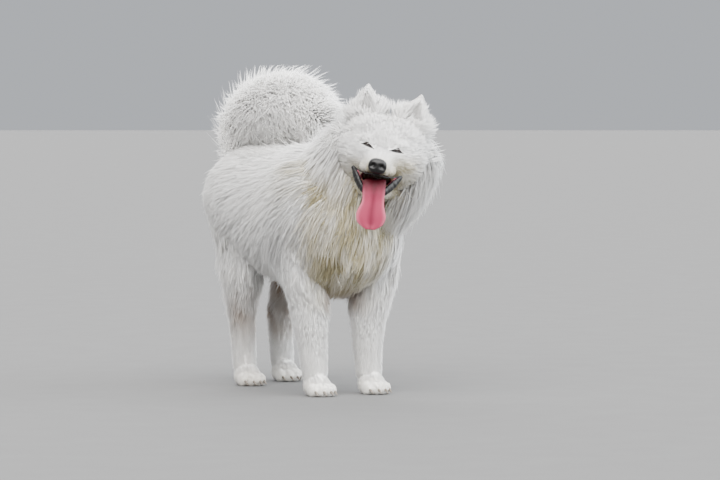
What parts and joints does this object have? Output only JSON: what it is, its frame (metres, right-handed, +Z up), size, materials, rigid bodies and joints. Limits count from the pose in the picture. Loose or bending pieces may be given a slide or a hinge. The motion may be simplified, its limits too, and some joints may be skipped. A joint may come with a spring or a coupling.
{
  "type": "samoyed dog",
  "caption": "Life-size standing white spitz-type dog, head turned and panting, with a ruff of long coat, pricked ears and a bushy tail curled over its back.",
  "frame": {"origin": "on the ground, under the middle of the dog's bounding box", "axes": "+Z up, the dog faces -Y, its left side is +X"},
  "size_m": [0.3794, 0.828, 0.733],
  "materials": {
    "coat": "soft long white hair, cream and damp under the throat",
    "black_skin": "moist black skin of nose and lips",
    "tongue": "wet pink, darker in the middle",
    "eye": "wet dark brown, almost black"
  },
  "bodies": {
    "root": {"torso": "coat", "neck": "coat", "head": "coat", "jaw": "coat", "ear_left": "coat", "ear_right": "coat", "foreleg_left": "coat", "foreleg_right": "coat", "hindleg_left": "coat", "hindleg_right": "coat", "forepaw_left": "coat", "forepaw_right": "coat", "hindpaw_left": "coat", "hindpaw_right": "coat", "tail_base": "coat", "tail_plume": "coat", "nose": "black_skin", "lip_upper": "black_skin", "lip_lower": "black_skin", "tongue": "tongue", "eye_left": "eye", "eye_right": "eye"}
  },
  "joints": []
}
